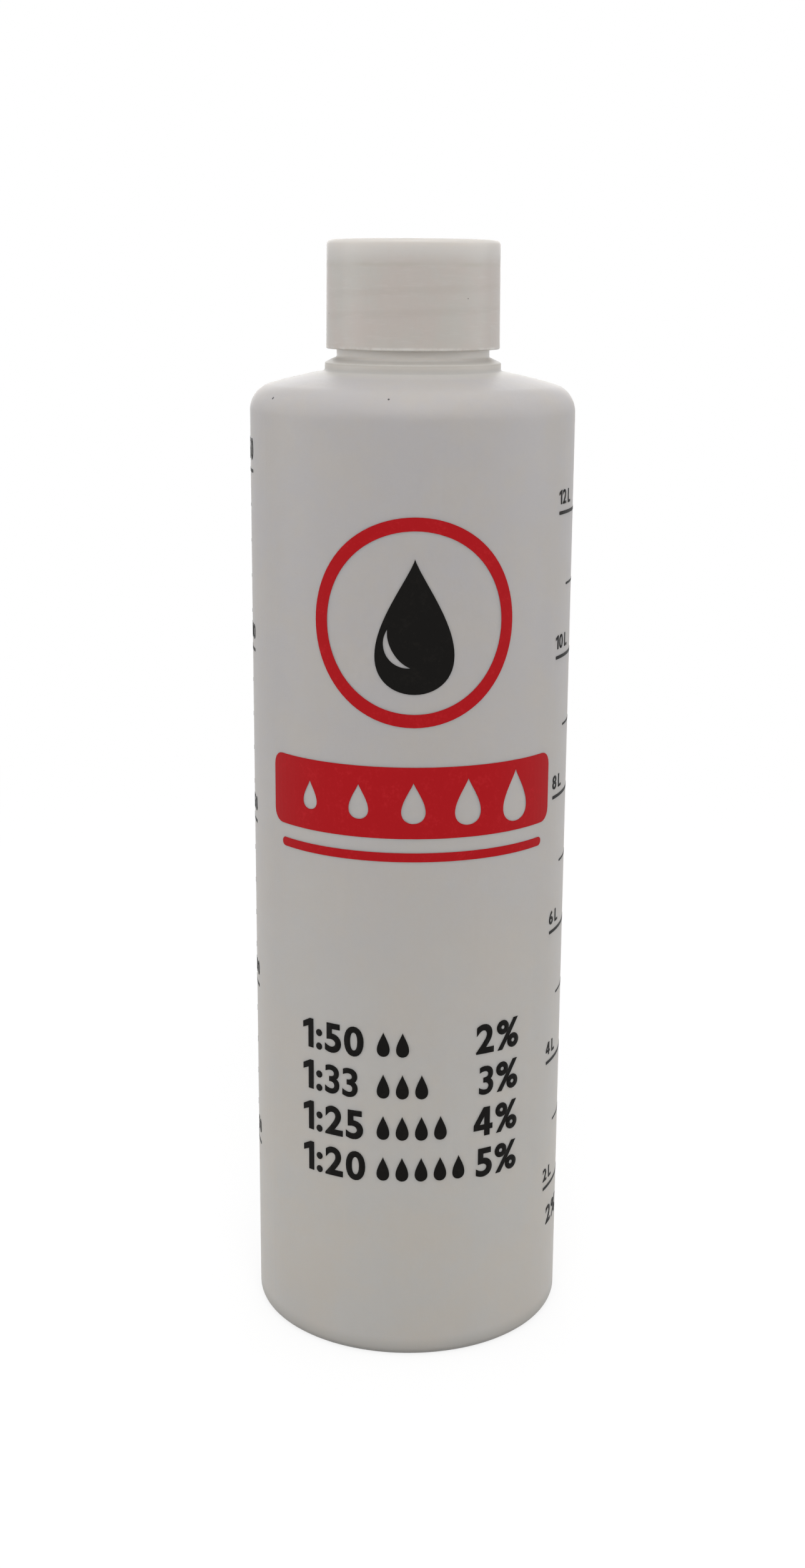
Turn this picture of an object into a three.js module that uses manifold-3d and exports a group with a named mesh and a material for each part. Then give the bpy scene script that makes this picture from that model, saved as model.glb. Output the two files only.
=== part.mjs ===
// An oil measuring bottle of natural polyethylene that holds 250 ml: a slim round
// body, a stepped collar, a threaded neck and a smooth screw cap with a foam liner.
// Millimetres, +Z up. The base is centred on the origin, and the print faces -Y.
import * as THREE from 'three';
import { mergeVertices } from 'three/addons/utils/BufferGeometryUtils.js';
import Module from 'manifold-3d';

const wasm = await Module();
wasm.setup();

// The body, from its base to the end of its straight side.
const bodyRadius = 25;
const bodyWall = 1.0;
const sideTop = 147.6;
const baseWall = 1.3;
const baseEdgeRadius = 1.5;
const baseInnerRadius = 2.6;
const footWidth = 2.6;
const pushUpHeight = 2.2;

// The ridge that the blow mould's pinch-off leaves across the hollow of the base.
const pinchLength = 20;
const pinchWidth = 1.4;
const pinchHeight = 0.6;
const pinchSink = 0.3;

// The shoulder: a rounded edge, then a shallow dome that flattens towards the collar.
const shoulderEdgeRadius = 4.3;
const outerSlopeDeg = 16;
const innerSlopeDeg = 10;

// The stepped collar and the plain ring under the cap.
const collarRadius = 13.5;
const collarHeight = 1.3;
const collarEdge = 0.25;
const collarBevel = 0.75;
const ringHeight = 2.45;
const ringChamfer = 0.5;

// The threaded neck. The throat is the curve from the shoulder into the bore.
const neckRadius = 10.75;
const neckWall = 1.5;
const lipRadius = 0.4;
const throatWidth = 3.4;
const throatHeight = 4.6;

// The thread, shared by the neck and the cap.
const pitch = 3.175;
const threadTurns = 1.5;
const threadDepth = 1.1;
const flankRun = 0.55;
const neckCrest = 1.1;
const capCrest = 0.6;
const threadDrop = 2.54;
const threadFoot = 1.8;
const runOutTurns = 0.12;
const rootSink = 0.25;

// What keeps the cap clear of the neck.
const crestClearance = 0.35;
const flankClearance = 0.15;
const ringClearance = 0.5;
const skirtGap = 1.25;
const seatClearance = 0.1;
const linerClearance = 0.15;

// The cap and its liner.
const capWall = 0.96;
const skirtTaper = 0.12;
const capPanel = 1.4;
const capEdgeRadius = 0.65;
const rimRadius = 0.2;
const mouthChamfer = 0.3;
const gateRadius = 1.3;
const gateDepth = 0.25;
const linerThickness = 1.9;
const beadDepth = 0.45;
const beadHeight = 0.7;

// Fineness of the surfaces.
const aroundSteps = 48;
const curveSteps = 4;

// Heights and radii that follow from the sizes above.
const shoulderCentre = bodyRadius - shoulderEdgeRadius;
const edgeEnd = Math.PI / 2 - THREE.MathUtils.degToRad(outerSlopeDeg);
const outerSlope = Math.tan(THREE.MathUtils.degToRad(outerSlopeDeg));
const innerSlope = Math.tan(THREE.MathUtils.degToRad(innerSlopeDeg));
const collarBase = shoulderPoint(collarRadius, 0).y;
const collarTop = collarBase + collarHeight;
const ringBase = collarTop + collarBevel;
const ringTop = ringBase + ringHeight;
const flankSlope = flankRun / threadDepth;
const flankReach = (neckCrest + capCrest) / 2 + flankSlope * (threadDepth - crestClearance);
const capThreadDrop = flankReach + flankClearance;
const capThreadStart = ringTop + threadFoot + capCrest / 2 + flankRun;
const neckThreadStart = capThreadStart + capThreadDrop;
const lipHeight = neckThreadStart + threadTurns * pitch + threadDrop;
const boreRadius = neckRadius - neckWall;
const throatRadius = boreRadius + throatWidth;
const capInner = neckRadius + threadDepth + crestClearance;
const capRadius = capInner + capWall;
const skirtRadius = capRadius + skirtTaper;
const ringRadius = capInner - ringClearance;
const skirtBottom = ringBase + skirtGap;
const linerBase = lipHeight + seatClearance;
const panelBase = linerBase + linerThickness + seatClearance;
const capTop = panelBase + capPanel;

// The point of the shoulder's dome at one radius, for a surface that lies inset below
// the outside. The dome starts where the rounded edge ends, and its slope eases from
// the outer value to the inner one over the run to the collar.
function shoulderPoint(radius, inset) {
  const edge = shoulderEdgeRadius - inset;
  const start = new THREE.Vector2(
    shoulderCentre + edge * Math.cos(edgeEnd),
    sideTop + edge * Math.sin(edgeEnd),
  );
  const run = start.x - radius;
  return new THREE.Vector2(radius, start.y + run * (outerSlope + innerSlope) / 2);
}

// Draws the side, the rounded shoulder edge and the dome, up to one radius.
function drawSide(path, inset, radius) {
  const edge = shoulderEdgeRadius - inset;
  path.absarc(shoulderCentre, sideTop, edge, 0, edgeEnd, false);
  const start = path.currentPoint.clone();
  const end = shoulderPoint(radius, inset);
  const half = (start.x - radius) / 2;
  path.quadraticCurveTo(radius + half, start.y + half * outerSlope, end.x, end.y);
}

// Draws the hollow of the base as an S-curve, from the axis out to one radius.
function drawPushUp(path, centreHeight, edgeHeight, radius) {
  path.moveTo(0, centreHeight);
  path.bezierCurveTo(radius * 0.75, centreHeight, radius * 0.8, edgeHeight, radius, edgeHeight);
}

function bottleProfile() {
  const outside = new THREE.Path();
  drawPushUp(outside, pushUpHeight, 0, bodyRadius - baseEdgeRadius - footWidth);
  outside.absarc(bodyRadius - baseEdgeRadius, baseEdgeRadius, baseEdgeRadius, -Math.PI / 2, 0, false);
  drawSide(outside, 0, collarRadius);
  outside.lineTo(collarRadius, collarTop - collarEdge);
  outside.lineTo(collarRadius - collarEdge, collarTop);
  outside.lineTo(ringRadius, ringBase);
  outside.lineTo(ringRadius, ringTop - ringChamfer);
  outside.lineTo(neckRadius, ringTop);
  outside.lineTo(neckRadius, lipHeight - lipRadius);
  outside.quadraticCurveTo(neckRadius, lipHeight, neckRadius - lipRadius, lipHeight);

  const inside = new THREE.Path();
  const innerRadius = bodyRadius - bodyWall;
  const floorEdge = innerRadius - baseInnerRadius;
  drawPushUp(inside, pushUpHeight + baseWall, baseWall, floorEdge);
  inside.absarc(floorEdge, baseWall + baseInnerRadius, baseInnerRadius, -Math.PI / 2, 0, false);
  drawSide(inside, bodyWall, throatRadius);
  const throatBase = inside.currentPoint.clone();
  const throatTop = throatBase.y + throatHeight;
  inside.quadraticCurveTo(boreRadius, throatBase.y + throatHeight * 0.2, boreRadius, throatTop);
  inside.lineTo(boreRadius, lipHeight - lipRadius);
  inside.quadraticCurveTo(boreRadius, lipHeight, boreRadius + lipRadius, lipHeight);
  return [...outside.getPoints(curveSteps), ...inside.getPoints(curveSteps).reverse()];
}

function capProfile() {
  const path = new THREE.Path();
  const beadTop = linerBase - seatClearance;
  path.moveTo(0, panelBase);
  path.lineTo(capInner, panelBase);
  path.lineTo(capInner, beadTop);
  path.lineTo(capInner - beadDepth, beadTop - beadHeight / 2);
  path.lineTo(capInner, beadTop - beadHeight);
  path.lineTo(capInner, skirtBottom + mouthChamfer);
  path.lineTo(capInner + mouthChamfer, skirtBottom);
  path.lineTo(skirtRadius - rimRadius, skirtBottom);
  path.quadraticCurveTo(skirtRadius, skirtBottom, skirtRadius, skirtBottom + rimRadius);
  path.absarc(capRadius - capEdgeRadius, capTop - capEdgeRadius, capEdgeRadius, 0, Math.PI / 2, false);
  path.lineTo(gateRadius, capTop);
  path.lineTo(gateRadius - gateDepth, capTop - gateDepth);
  path.lineTo(0, capTop - gateDepth);
  return path.getPoints(curveSteps);
}

// Revolves a profile about +Z. Its angle is counted from -Y towards +X.
function revolve(profile) {
  return new THREE.LatheGeometry(profile, aroundSteps).rotateX(Math.PI / 2);
}

// Winds a right-handed thread of trapezoid section on +Z. A height above the wall is
// out from the neck or in from the cap. The foot lies rootSink inside the wall, and
// over the run-out at either end the crest sinks below the wall too.
function windThread(wallRadius, direction, crestWidth, startHeight) {
  const steps = Math.round(threadTurns * aroundSteps);
  const runOut = runOutTurns * aroundSteps;
  const positions = [];
  const indices = [];
  for (let step = 0; step <= steps; step += 1) {
    const angle = (step / aroundSteps) * 2 * Math.PI;
    const middle = startHeight + (step / aroundSteps) * pitch;
    const rise = Math.sin(Math.min(1, step / runOut, (steps - step) / runOut) * Math.PI / 2);
    const crest = rise * (threadDepth + rootSink / 2) - rootSink / 2;
    const corners = [[-rootSink, -1], [crest, -1], [crest, 1], [-rootSink, 1]];
    for (const [height, side] of corners) {
      const radius = wallRadius + direction * height;
      const halfWidth = crestWidth / 2 + flankSlope * (threadDepth - height);
      positions.push(radius * Math.sin(angle), -radius * Math.cos(angle), middle + side * halfWidth);
    }
  }
  const corner = (step, number) => step * 4 + (number % 4);
  const face = (a, b, c) => indices.push(...(direction > 0 ? [a, b, c] : [a, c, b]));
  for (let step = 0; step < steps; step += 1) {
    for (let side = 0; side < 4; side += 1) {
      face(corner(step, side), corner(step + 1, side + 1), corner(step, side + 1));
      face(corner(step, side), corner(step + 1, side), corner(step + 1, side + 1));
    }
  }
  for (const [a, b, c] of [[0, 1, 2], [0, 2, 3]]) {
    face(corner(0, a), corner(0, b), corner(0, c));
    face(corner(steps, a), corner(steps, c), corner(steps, b));
  }
  const geometry = new THREE.BufferGeometry();
  geometry.setAttribute('position', new THREE.Float32BufferAttribute(positions, 3));
  geometry.setIndex(indices);
  return geometry;
}

// Makes a solid of a closed geometry, without the triangles that collapse on the axis.
function toSolid(geometry) {
  geometry.deleteAttribute('normal');
  geometry.deleteAttribute('uv');
  const merged = mergeVertices(geometry);
  const index = merged.index.array;
  const kept = [];
  for (let start = 0; start < index.length; start += 3) {
    const [a, b, c] = index.subarray(start, start + 3);
    if (a !== b && b !== c && c !== a) kept.push(a, b, c);
  }
  const vertProperties = merged.attributes.position.array;
  const triVerts = Uint32Array.from(kept);
  return new wasm.Manifold(new wasm.Mesh({ numProp: 3, vertProperties, triVerts }));
}

function toMesh(name, solid, colour, roughness) {
  const { vertProperties, triVerts } = solid.getMesh();
  const geometry = new THREE.BufferGeometry();
  geometry.setAttribute('position', new THREE.BufferAttribute(vertProperties, 3));
  geometry.setIndex(new THREE.BufferAttribute(triVerts, 1));
  geometry.computeVertexNormals();
  const material = new THREE.MeshStandardMaterial({ color: colour, roughness, metalness: 0 });
  const mesh = new THREE.Mesh(geometry, material);
  mesh.name = name;
  return mesh;
}

function makeBottle() {
  const shell = toSolid(revolve(bottleProfile()));
  const thread = toSolid(windThread(neckRadius, 1, neckCrest, neckThreadStart));
  const ridge = new THREE.BoxGeometry(pinchLength, pinchWidth, pinchHeight + pinchSink);
  ridge.translate(0, 0, pushUpHeight + (pinchSink - pinchHeight) / 2);
  return toMesh('bottle', shell.add(thread).add(toSolid(ridge)), '#b9b7b3', 0.42);
}

function makeCap() {
  const shell = toSolid(revolve(capProfile()));
  const thread = toSolid(windThread(capInner, -1, capCrest, capThreadStart));
  return toMesh('screw_cap', shell.add(thread), '#c3beb6', 0.38);
}

function makeLiner() {
  const disc = new THREE.CylinderGeometry(
    capInner - linerClearance,
    capInner - linerClearance,
    linerThickness,
    aroundSteps,
  );
  disc.rotateX(Math.PI / 2);
  disc.translate(0, 0, linerBase + linerThickness / 2);
  return toMesh('cap_liner', toSolid(disc), '#f1efec', 0.8);
}

const measuringBottle = new THREE.Group();
measuringBottle.add(makeBottle(), makeCap(), makeLiner());

export default measuringBottle;
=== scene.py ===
import bmesh
import bpy
import numpy as np
from mathutils import Matrix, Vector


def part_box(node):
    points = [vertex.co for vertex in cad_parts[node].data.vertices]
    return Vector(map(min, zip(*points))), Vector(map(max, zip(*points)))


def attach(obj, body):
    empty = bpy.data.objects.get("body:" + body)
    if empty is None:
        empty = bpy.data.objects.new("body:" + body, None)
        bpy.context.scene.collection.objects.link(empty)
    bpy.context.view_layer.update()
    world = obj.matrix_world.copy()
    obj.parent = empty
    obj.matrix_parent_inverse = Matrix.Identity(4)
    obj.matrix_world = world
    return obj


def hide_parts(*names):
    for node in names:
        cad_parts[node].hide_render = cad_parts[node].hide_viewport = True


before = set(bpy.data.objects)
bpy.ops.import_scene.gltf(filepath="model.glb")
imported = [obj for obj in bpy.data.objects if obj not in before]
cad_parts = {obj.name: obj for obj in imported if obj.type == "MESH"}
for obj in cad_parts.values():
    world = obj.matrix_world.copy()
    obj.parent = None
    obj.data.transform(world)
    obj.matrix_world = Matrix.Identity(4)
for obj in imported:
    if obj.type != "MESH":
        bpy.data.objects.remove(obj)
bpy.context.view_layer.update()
mm = 0.001
nearlyZero = 1e-6
sharpDegrees = 35
print("frame loaded")


# Profiles are (radius, height) rows in millimetres, joined from short curves.

# (1 - t) * start + t * end, for t from 0 to 1.
def line(start, end, steps=1):
    t = np.linspace(0, 1, steps + 1)[:, None]
    return (1 - t) * np.array(start, float) + t * np.array(end, float)


# centre + radius * (cos a, sin a), for a from startDeg to endDeg.
def arc(centre, radius, startDeg, endDeg, steps):
    a = np.radians(np.linspace(startDeg, endDeg, steps + 1))
    return np.array(centre, float) + radius * np.column_stack((np.cos(a), np.sin(a)))


# The Bezier curve of 3 or 4 points, by repeated mixing of neighbours.
def bezier(points, steps):
    t = np.linspace(0, 1, steps + 1)[:, None, None]
    p = np.repeat(np.array(points, float)[None], steps + 1, axis=0)
    while p.shape[1] > 1:
        p = (1 - t) * p[:, :-1] + t * p[:, 1:]
    return p[:, 0]


# The curves end to end, each repeated joint kept once.
def chain(*curves):
    rows = np.concatenate(curves)
    step = np.linalg.norm(np.diff(rows, axis=0), axis=1)
    return rows[np.concatenate(([True], step > nearlyZero))]


# A new object in the scene.
def addObject(name, data):
    added = bpy.data.objects.new(name, data)
    bpy.context.scene.collection.objects.link(added)
    return added


# The place of an object whose own axes point along x, y and z.
def placeAlong(x, y, z, place):
    return Matrix(np.column_stack((x, y, z, place)).tolist() + [[0, 0, 0, 1]])


# A smooth mesh, sharp only where it turns by more than sharpDegrees.
def finishMesh(name, points, faces):
    mesh = bpy.data.meshes.new(name)
    mesh.from_pydata(points.tolist(), [], faces)
    mesh.validate()
    mesh.shade_smooth()
    mesh.set_sharp_from_angle(angle=np.radians(sharpDegrees))
    return addObject(name, mesh)


# Point (row, angle) = (r sin a, -r cos a, z), where (r, z) is the profile's row moved by
# relief(r, z, a). The profile starts and ends on the axis, so its two ends are one point
# each. Rows run so that the material is on their left.
def lathe(name, profile, angles, relief):
    rows = profile[1:-1]
    around = len(angles)
    a = angles[None, :]
    r = np.repeat(rows[:, :1], around, axis=1)
    z = np.repeat(rows[:, 1:], around, axis=1)
    r, z = relief(r, z, np.broadcast_to(a, r.shape))
    grid = np.stack((r * np.sin(a), -r * np.cos(a), z), axis=-1).reshape(-1, 3)
    poles = np.array([[0, 0, profile[0, 1]], [0, 0, profile[-1, 1]]])
    points = np.concatenate((grid, poles)) * mm
    count = len(rows)
    i, j = np.meshgrid(np.arange(count - 1), np.arange(around), indexing="ij")
    k = (j + 1) % around
    below, above = i * around, (i + 1) * around
    quads = np.stack((below + j, below + k, above + k, above + j), axis=-1)
    j = np.arange(around)
    k = (j + 1) % around
    first = np.stack((np.full(around, count * around), k, j), axis=-1)
    top = (count - 1) * around
    last = np.stack((np.full(around, count * around + 1), top + j, top + k), axis=-1)
    faces = quads.reshape(-1, 4).tolist() + first.tolist() + last.tolist()
    return finishMesh(name, points, faces)


# What the neck and the cap share.
screwThread = {
    "pitch": 3.175, "turns": 1.5, "depth": 1.1, "flankRun": 0.55, "neckCrest": 1.1,
    "capCrest": 0.6, "runOutTurns": 0.12, "cornerEase": 0.16,
}


# Height of the thread over its wall: a trapezoid across the helix z = startHeight + pitch *
# turn, eased at its corners and sunk at its two ends.
def threadRelief(z, a, startHeight, crest):
    t = screwThread
    relief = np.zeros_like(z)
    for lap in range(int(np.ceil(t["turns"])) + 1):
        turn = a / (2 * np.pi) + lap
        away = np.abs(z - (startHeight + t["pitch"] * turn))
        side = (crest / 2 + t["flankRun"] - away) / t["flankRun"]
        side = np.clip(side, 0, 1)
        side = side - t["cornerEase"] * np.sin(2 * np.pi * side) / (2 * np.pi)
        ends = np.clip(np.minimum(turn, t["turns"] - turn) / t["runOutTurns"], 0, 1)
        relief = np.maximum(relief, t["depth"] * side * np.sin(ends * np.pi / 2))
    return relief


bottleSize = {
    "wall": 1.0, "sideTop": 147.6, "baseWall": 1.3, "baseEdge": 1.5, "baseInner": 2.6,
    "footWidth": 2.6, "pushUp": 2.2, "pinchLength": 20.0, "pinchWidth": 1.4, "pinchHeight": 0.6,
    "pinchSideEase": 0.3, "pinchEndEase": 0.6, "hollowShares": (0.75, 0.8), "shoulderEdge": 4.3,
    "outerSlope": 16.0, "innerSlope": 10.0, "collarRadius": 13.5, "collarHeight": 1.3,
    "collarEdge": 0.25, "collarBevel": 0.75, "collarFillet": 0.35, "collarFilletDrop": 0.07,
    "collarEdgeRise": 0.06, "ringFillet": 0.2, "ringFilletDrop": 0.05, "ringRadius": 11.7,
    "ringHeight": 2.45, "ringChamfer": 0.5, "neckRadius": 10.75, "neckWall": 1.5,
    "lipRadius": 0.4, "throatWidth": 3.4, "throatHeight": 4.6, "throatBend": 0.2,
    "threadDrop": 2.54, "around": 264, "partingHeight": 0.05, "partingWidth": 0.16,
    "partingLow": 0.4, "partingClimb": 0.8, "partingInset": 0.4,
}
bottleLow, bottleHigh = (np.array(corner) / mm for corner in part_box("bottle"))
bodyRadius = (bottleHigh[0] - bottleLow[0]) / 2
lipHeight = bottleHigh[2]


# An arc round the shoulder's edge, then a dome whose slope eases inwards.
def shoulder(inset, radius):
    s = bottleSize
    centre = bodyRadius - s["shoulderEdge"]
    edge = arc((centre, s["sideTop"]), s["shoulderEdge"] - inset, 0, 90 - s["outerSlope"], 18)
    start = edge[-1]
    half = (start[0] - radius) / 2
    outer, inner = np.tan(np.radians((s["outerSlope"], s["innerSlope"])))
    middle = (radius + half, start[1] + half * outer)
    end = (radius, start[1] + half * (outer + inner))
    return chain(edge, bezier((start, middle, end), 24))


# The S-curve of the base, from the axis out to one radius.
def hollow(centreHeight, edgeHeight, radius, steps):
    level, steep = bottleSize["hollowShares"]
    points = ((0, centreHeight), (radius * level, centreHeight), (radius * steep, edgeHeight))
    return bezier(points + ((radius, edgeHeight),), steps)


# The mould's parting line, height * exp(-(y / width)^2), and the degrees to both sides
# of it at which the wall and the ink get a row of points.
partingSteps = np.array((-0.75, -0.5, -0.3, -0.15, 0.15, 0.3, 0.5, 0.75))


def partingRidge(y):
    return bottleSize["partingHeight"] * np.exp(-((y / bottleSize["partingWidth"]) ** 2))


# The bottle's outside from the base's centre up to its lip, then its inside back down, with the
# height of the ring's top and the count of rows of the outside.
def bottleProfile():
    s = bottleSize
    footInner = bodyRadius - s["baseEdge"] - s["footWidth"]
    baseCentre = (bodyRadius - s["baseEdge"], s["baseEdge"])
    side = line((bodyRadius, s["baseEdge"]), (bodyRadius, s["sideTop"]), 10)
    dome = shoulder(0, s["collarRadius"])
    collarBase = dome[-1]
    collarTop = collarBase[1] + s["collarHeight"]
    ringBase = collarTop + s["collarBevel"]
    ringTop = ringBase + s["ringHeight"]
    neckEnd = lipHeight - s["lipRadius"]
    filletLow = collarBase + (s["collarFillet"], -s["collarFilletDrop"])
    filletHigh = collarBase + (0, s["collarFillet"])
    edgeLow = (s["collarRadius"], collarTop - s["collarEdge"])
    edgeHigh = (s["collarRadius"] - s["collarEdge"], collarTop + s["collarEdgeRise"])
    ringLow = (s["ringRadius"] + s["ringFillet"], ringBase - s["ringFilletDrop"])
    ringSide = (s["ringRadius"], ringBase + s["ringFillet"])
    chamfer = (s["ringRadius"], ringTop - s["ringChamfer"])
    collar = chain(
        bezier((filletLow, collarBase, filletHigh), 4),
        line(filletHigh, edgeLow, 3),
        bezier((edgeLow, (s["collarRadius"], collarTop), edgeHigh), 4),
        line(edgeHigh, ringLow, 4),
        bezier((ringLow, (s["ringRadius"], ringBase), ringSide), 3),
        line(ringSide, chamfer, 4),
        line(chamfer, (s["neckRadius"], ringTop), 3),
        line((s["neckRadius"], ringTop), (s["neckRadius"], neckEnd), 92),
        arc((s["neckRadius"] - s["lipRadius"], neckEnd), s["lipRadius"], 0, 90, 6),
    )
    outside = chain(
        hollow(s["pushUp"], 0, footInner, 44),
        line((footInner, 0), (baseCentre[0], 0), 3),
        arc(baseCentre, s["baseEdge"], -90, 0, 10),
        side,
        dome[:-1][dome[:-1, 0] > s["collarRadius"] + s["collarFillet"]],
        collar,
    )
    bore = s["neckRadius"] - s["neckWall"]
    floorEdge = bodyRadius - s["wall"] - s["baseInner"]
    floorCentre = (floorEdge, s["baseWall"] + s["baseInner"])
    under = shoulder(s["wall"], bore + s["throatWidth"])
    throatBase = under[-1]
    throatTop = throatBase[1] + s["throatHeight"]
    throatBend = throatBase[1] + s["throatHeight"] * s["throatBend"]
    inside = chain(
        hollow(s["pushUp"] + s["baseWall"], s["baseWall"], floorEdge, 16),
        arc(floorCentre, s["baseInner"], -90, 0, 8),
        line((bodyRadius - s["wall"], floorCentre[1]), (bodyRadius - s["wall"], s["sideTop"]), 8),
        under,
        bezier((throatBase, (bore, throatBend), (bore, throatTop)), 14),
        line((bore, throatTop), (bore, neckEnd), 6),
        arc((bore + s["lipRadius"], neckEnd), s["lipRadius"], 180, 90, 6),
    )
    return chain(outside, inside[::-1]), ringTop, len(outside)


def makeBottle():
    s = bottleSize
    profile, ringTop, outsideRows = bottleProfile()

    # The thread stands out of the neck. The pinch-off ridge hangs from the hollow of the
    # base to one level. The parting line runs up both sides.
    def relief(r, z, a):
        onNeck = (z > ringTop) & (np.abs(r - s["neckRadius"]) < nearlyZero)
        r = r + np.where(onNeck, threadRelief(z, a, neckThreadStart, screwThread["neckCrest"]), 0)
        x, y = r * np.sin(a), -r * np.cos(a)
        level = s["pushUp"] - s["pinchHeight"]
        sides = np.clip((s["pinchWidth"] / 2 - np.abs(y)) / s["pinchSideEase"] + 0.5, 0, 1)
        ends = np.clip((s["pinchLength"] / 2 - np.abs(x)) / s["pinchEndEase"] + 0.5, 0, 1)
        hang = np.clip(z - level, 0, None) * sides * ends
        z = z - np.where(z < s["pushUp"] + nearlyZero, hang, 0) * (z >= level)
        outside = np.arange(len(r))[:, None] < outsideRows
        onSide = (r > s["collarRadius"] + s["partingInset"]) & outside
        climb = np.clip((z - s["partingLow"]) / s["partingClimb"], 0, 1)
        return r + np.where(onSide, partingRidge(y) * climb, 0), z

    even = np.linspace(0, 360, s["around"], endpoint=False)
    angles = np.radians(np.sort(np.concatenate((even, partingSteps + 90, partingSteps + 270))))
    piece = lathe("bottleShell", profile, angles, relief)
    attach(piece, "bottle_body")
    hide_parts("bottle")
    print("bottle", len(piece.data.polygons), "faces")
    return piece


capSize = {
    "threadRadius": 12.2, "taper": 0.12, "edge": 0.65, "rim": 0.2, "mouthChamfer": 0.3,
    "panel": 1.4, "panelEdge": 0.4, "gateRadius": 1.3, "gateDepth": 0.25,
    "gateSteps": (0.2, 0.4, 0.7), "beadDepth": 0.45, "beadHeight": 0.7, "beadGap": 0.1,
    "flankClearance": 0.15, "crestClearance": 0.35, "around": 240,
}
capLow, capHigh = (np.array(corner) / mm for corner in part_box("screw_cap"))
linerLow, linerHigh = (np.array(corner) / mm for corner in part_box("cap_liner"))
threadSlope = screwThread["flankRun"] / screwThread["depth"]
threadReach = (screwThread["neckCrest"] + screwThread["capCrest"]) / 2 + capSize["flankClearance"]
neckThreadStart = lipHeight - bottleSize["threadDrop"] - screwThread["turns"] * screwThread["pitch"]
capThreadStart = neckThreadStart - threadReach
capThreadStart -= threadSlope * (screwThread["depth"] - capSize["crestClearance"])


def makeCap():
    s = capSize
    bottom, top = capLow[2], capHigh[2]
    skirt = (capHigh[0] - capLow[0]) / 2
    crown = skirt - s["taper"]
    panelBase = top - s["panel"]
    beadTop = linerLow[2] - s["beadGap"]
    beadMiddle = beadTop - s["beadHeight"] / 2
    beadBase = beadTop - s["beadHeight"]
    inner = s["threadRadius"]
    corner = (inner - s["panelEdge"], panelBase - s["panelEdge"])
    crest = inner - s["beadDepth"]
    gate, gateFloor = s["gateRadius"], top - s["gateDepth"]
    rounding, falling, landing = (gate - step for step in s["gateSteps"])
    profile = chain(
        line((0, panelBase), (corner[0], panelBase), 10),
        bezier(((corner[0], panelBase), (inner, panelBase), (inner, corner[1])), 4),
        line((inner, corner[1]), (inner, beadTop), 4),
        bezier(((inner, beadTop), (crest, beadTop), (crest, beadMiddle)), 5),
        bezier(((crest, beadMiddle), (crest, beadBase), (inner, beadBase)), 5),
        line((inner, beadBase), (inner, bottom + s["mouthChamfer"]), 120),
        line((inner, bottom + s["mouthChamfer"]), (inner + s["mouthChamfer"], bottom), 2),
        line((inner + s["mouthChamfer"], bottom), (skirt - s["rim"], bottom), 2),
        arc((skirt - s["rim"], bottom + s["rim"]), s["rim"], -90, 0, 5),
        line((skirt, bottom + s["rim"]), (crown, top - s["edge"]), 24),
        arc((crown - s["edge"], top - s["edge"]), s["edge"], 0, 90, 8),
        line((crown - s["edge"], top), (gate, top), 10),
        bezier(((gate, top), (rounding, top), (falling, gateFloor), (landing, gateFloor)), 6),
        line((landing, gateFloor), (0, gateFloor), 2),
    )

    # The cap's thread stands in from its wall, one flank under the neck's.
    def relief(r, z, a):
        onWall = (np.abs(r - inner) < nearlyZero) & (z < beadBase) & (z > bottom)
        return r - np.where(onWall, threadRelief(z, a, capThreadStart, screwThread["capCrest"]), 0), z

    angles = np.linspace(0, 2 * np.pi, s["around"], endpoint=False)
    piece = lathe("capShell", profile, angles, relief)
    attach(piece, "cap_body")
    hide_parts("screw_cap")
    print("cap", len(piece.data.polygons), "faces")
    return piece


linerSize = {"edge": 0.25, "dent": 0.06, "dentRadius": 10.0, "dentWidth": 0.9, "around": 160}


# A disc with eased edges, whose underside keeps the lip's shallow dent: dent * exp(-((r -
# dentRadius) / dentWidth)^2).
def makeLiner():
    s = linerSize
    bottom, top = linerLow[2], linerHigh[2]
    radius = (linerHigh[0] - linerLow[0]) / 2
    profile = chain(
        line((0, bottom), (radius - s["edge"], bottom), 48),
        arc((radius - s["edge"], bottom + s["edge"]), s["edge"], -90, 0, 4),
        arc((radius - s["edge"], top - s["edge"]), s["edge"], 0, 90, 4),
        line((radius - s["edge"], top), (0, top), 8),
    )

    def relief(r, z, a):
        dent = s["dent"] * np.exp(-(((r - s["dentRadius"]) / s["dentWidth"]) ** 2))
        return r, z + np.where(z < bottom + nearlyZero, dent, 0)

    angles = np.linspace(0, 2 * np.pi, s["around"], endpoint=False)
    piece = lathe("linerDisc", profile, angles, relief)
    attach(piece, "liner_body")
    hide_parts("cap_liner")
    print("liner", len(piece.data.polygons), "faces")
    return piece


bottlePiece = makeBottle()
capPiece = makeCap()
linerPiece = makeLiner()


# The print. Flat shapes in millimetres are filled, cut into strips, given the ink's
# thickness and wrapped round the body: x becomes an arc and y a height.
inkSize = {
    "sink": 0.03, "rise": 0.03, "strip": 1.0, "joinWithin": 1e-4, "cutWithin": 1e-5,
    "shortestEdge": 1e-3,
}


# The way round the body from the middle of its front, in millimetres.
def arcAt(degrees):
    return np.radians(degrees) * bodyRadius


# The area between closed outlines, as a flat mesh. An outline inside another is a hole in it.
def flatFill(outlines):
    curve = bpy.data.curves.new("flat", "CURVE")
    curve.dimensions = "2D"
    curve.fill_mode = "BOTH"
    for outline in outlines:
        spline = curve.splines.new("POLY")
        spline.points.add(len(outline) - 1)
        corners = np.column_stack((outline, np.zeros(len(outline)), np.ones(len(outline))))
        spline.points.foreach_set("co", corners.ravel())
        spline.use_cyclic_u = True
    return meshOfCurve(curve)


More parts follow.
